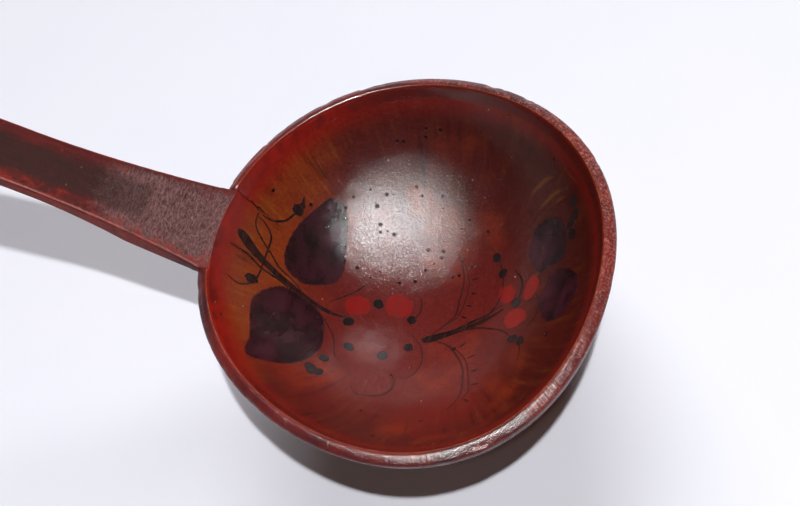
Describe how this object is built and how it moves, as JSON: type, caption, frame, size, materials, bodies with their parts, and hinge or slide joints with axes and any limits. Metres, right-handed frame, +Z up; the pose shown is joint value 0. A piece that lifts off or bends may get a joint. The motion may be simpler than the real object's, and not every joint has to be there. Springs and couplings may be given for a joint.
{
  "type": "painted wooden ladle spoon",
  "caption": "Round hand-carved wooden bowl with a flat foot and a flat rising handle, lacquered dark red and painted inside with leaves, fruit and berries.",
  "frame": {"origin": "centre of the flat foot's face under the bowl", "axes": "+Z up along the bowl's axis, the rim level; the handle runs toward -X and rises; Y is across the handle"},
  "size_m": [0.2763, 0.1314, 0.1315],
  "materials": {
    "bowl_lacquer": "aged amber varnish over red-brown paint, glossy",
    "handle_lacquer": "aged varnish over red-brown paint, glossy and wrinkled by the bowl",
    "crimson_paint": "crimson oil paint under varnish",
    "rim_paint": "worn red-brown oil paint on the edge",
    "fruit_paint": "aubergine-black oil paint under varnish",
    "berry_paint": "black oil paint under varnish",
    "petal_paint": "red oil paint under varnish",
    "stem_paint": "dark brown oil paint under varnish",
    "curl_paint": "thin dark brown oil paint under varnish",
    "gold_paint": "metal powder under amber varnish, worn",
    "panel_paint": "near-black oil paint under varnish, scratched"
  },
  "bodies": {
    "root": {"bowl": "bowl_lacquer", "handle": "handle_lacquer", "rim_band": "crimson_paint", "rim_edge": "rim_paint", "fruits": "fruit_paint", "berries": "berry_paint", "petals": "petal_paint", "stems": "stem_paint", "curls": "curl_paint", "curl_ticks": "curl_paint", "gold_strokes": "gold_paint", "handle_panel": "panel_paint"}
  },
  "joints": []
}
